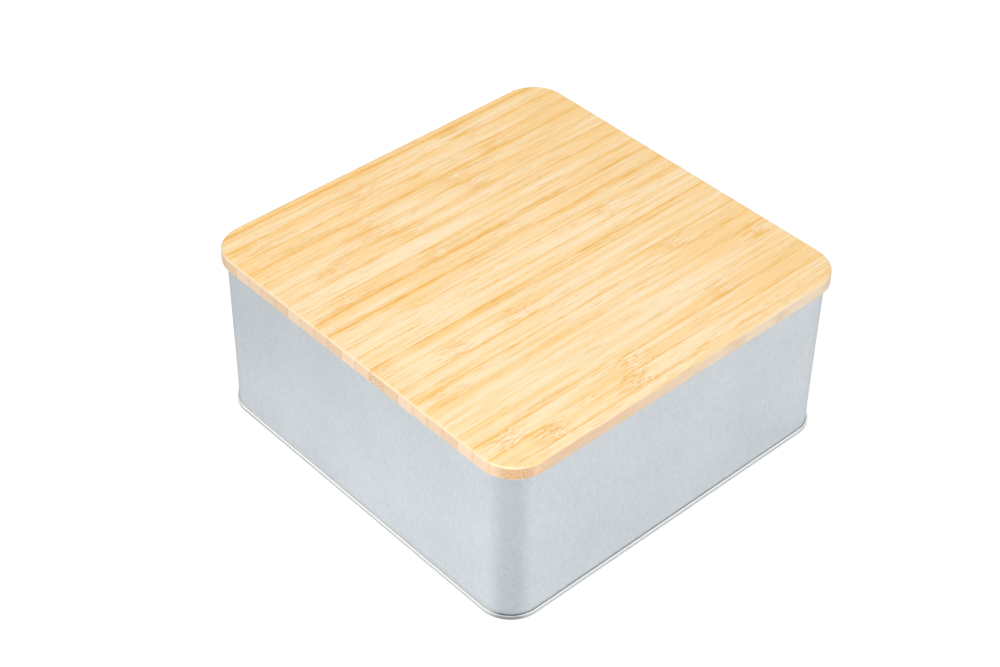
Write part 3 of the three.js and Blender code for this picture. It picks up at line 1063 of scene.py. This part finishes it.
def seen_directly(graph):
    """1 for rays from the camera, from gloss or through glass, and 0 for the rest."""
    path = graph.node("LightPath")
    total = graph.plus(path.outputs["Is Camera Ray"], path.outputs["Is Glossy Ray"])
    return graph.calc("ADD", total, path.outputs["Is Transmission Ray"], clamp=True)


def mirrored_glow(graph, place):
    """The floor's glow as the tin mirrors it: dull behind, strong by the left face, weak by the front."""
    x, y = graph.split(place)[:2]
    half_width = LID_WIDTH / 2 * MM
    from_left = graph.minus(graph.times(x, -1.0), half_width)
    from_front = graph.minus(graph.times(y, -1.0), half_width)
    left = graph.times(graph.fit(from_left, *LEFT_GLOW), graph.fit(from_left, *BESIDE_SEAM))
    left = graph.times(left, graph.fit(from_front, *PAST_CORNER))
    front = graph.times(graph.fit(from_front, *FRONT_GLOW), graph.fit(from_front, *BESIDE_SEAM))
    front = graph.times(front, graph.fit(from_left, *PAST_CORNER))
    return graph.plus(graph.fit(y, *MIRRORED_GLOW), graph.plus(left, front))


def floor_material():
    """White ground that glows a little, by one measure for the camera and another for the tin's gloss."""
    material = bpy.data.materials.new("floor")
    material.use_nodes = True
    material.node_tree.nodes.clear()
    graph = Graph(material.node_tree)
    place = graph.node("TexCoord").outputs["Object"]
    away = graph.node("VectorMath")
    away.operation = "LENGTH"
    graph.plug(away.inputs[0], place)
    shown = graph.fit(away.outputs["Value"], *FLOOR_GLOW)
    is_camera = graph.node("LightPath").outputs["Is Camera Ray"]
    white = graph.fit(is_camera, 0, 1, mirrored_glow(graph, place), shown, smooth=False)
    glow = graph.node("Emission")
    graph.plug(glow.inputs["Strength"], graph.times(seen_directly(graph), white))
    diffuse = graph.node("BsdfDiffuse")
    graph.plug(diffuse.inputs["Color"], FLOOR_GREY)
    total = graph.node("AddShader")
    graph.plug(total.inputs[0], diffuse.outputs[0])
    graph.plug(total.inputs[1], glow.outputs[0])
    graph.plug(graph.node("OutputMaterial").inputs["Surface"], total.outputs[0])
    return material


def make_floor(material):
    """The ground that the box stands on."""
    mesh = bmesh.new()
    bmesh.ops.create_grid(mesh, x_segments=1, y_segments=1, size=FLOOR_HALF_WIDTH)
    data = bpy.data.meshes.new("floor")
    mesh.to_mesh(data)
    mesh.free()
    data.materials.append(material)
    floor = bpy.data.objects.new("floor", data)
    bpy.context.scene.collection.objects.link(floor)


def make_world():
    """White surroundings that light the box less than they show."""
    world = bpy.data.worlds.new("studio")
    bpy.context.scene.world = world
    world.use_nodes = True
    world.node_tree.nodes.clear()
    graph = Graph(world.node_tree)
    background = graph.node("Background")
    strength = graph.fit(seen_directly(graph), 0, 1, WORLD_LIGHT, WORLD_SEEN, smooth=False)
    graph.plug(background.inputs["Strength"], strength)
    graph.plug(graph.node("OutputWorld").inputs["Surface"], background.outputs[0])


def make_lamp(name, place, width, power):
    """A round softbox that faces the box."""
    light = bpy.data.lights.new(name, "AREA")
    light.shape = "DISK"
    light.size = width
    light.energy = power
    lamp = bpy.data.objects.new(name, light)
    lamp.location = place
    lamp.rotation_euler = (Vector(LAMP_TARGET) - Vector(place)).to_track_quat("-Z", "Y").to_euler()
    bpy.context.scene.collection.objects.link(lamp)


def make_camera():
    """The photograph's camera."""
    azimuth, elevation = CAMERA_AZIMUTH, CAMERA_ELEVATION
    flat = math.cos(elevation)
    back = Vector((math.sin(azimuth) * flat, -math.cos(azimuth) * flat, math.sin(elevation)))
    level = Vector((math.cos(azimuth), math.sin(azimuth), 0))
    upright = back.cross(level)
    turn, rise = math.cos(CAMERA_ROLL), math.sin(CAMERA_ROLL)
    right = turn * level + rise * upright
    up = turn * upright - rise * level
    data = bpy.data.cameras.new("camera")
    data.sensor_width = SENSOR_WIDTH
    data.lens = CAMERA_FOCAL_PIXELS * SENSOR_WIDTH / IMAGE_WIDTH
    data.clip_start = CAMERA_NEAREST
    data.clip_end = CAMERA_FARTHEST
    camera = bpy.data.objects.new("camera", data)
    turned = Matrix((right, up, back)).transposed().to_4x4()
    camera.matrix_world = Matrix.Translation(CAMERA_PLACE * MM) @ turned
    bpy.context.scene.collection.objects.link(camera)
    bpy.context.scene.camera = camera


make_camera()
make_world()
make_floor(floor_material())
for lamp_values in LAMPS:
    make_lamp(*lamp_values)
make_tin(tin_material())
make_strips(bamboo_material())
make_seal(seal_material())
bpy.context.scene.view_settings.view_transform = "Standard"
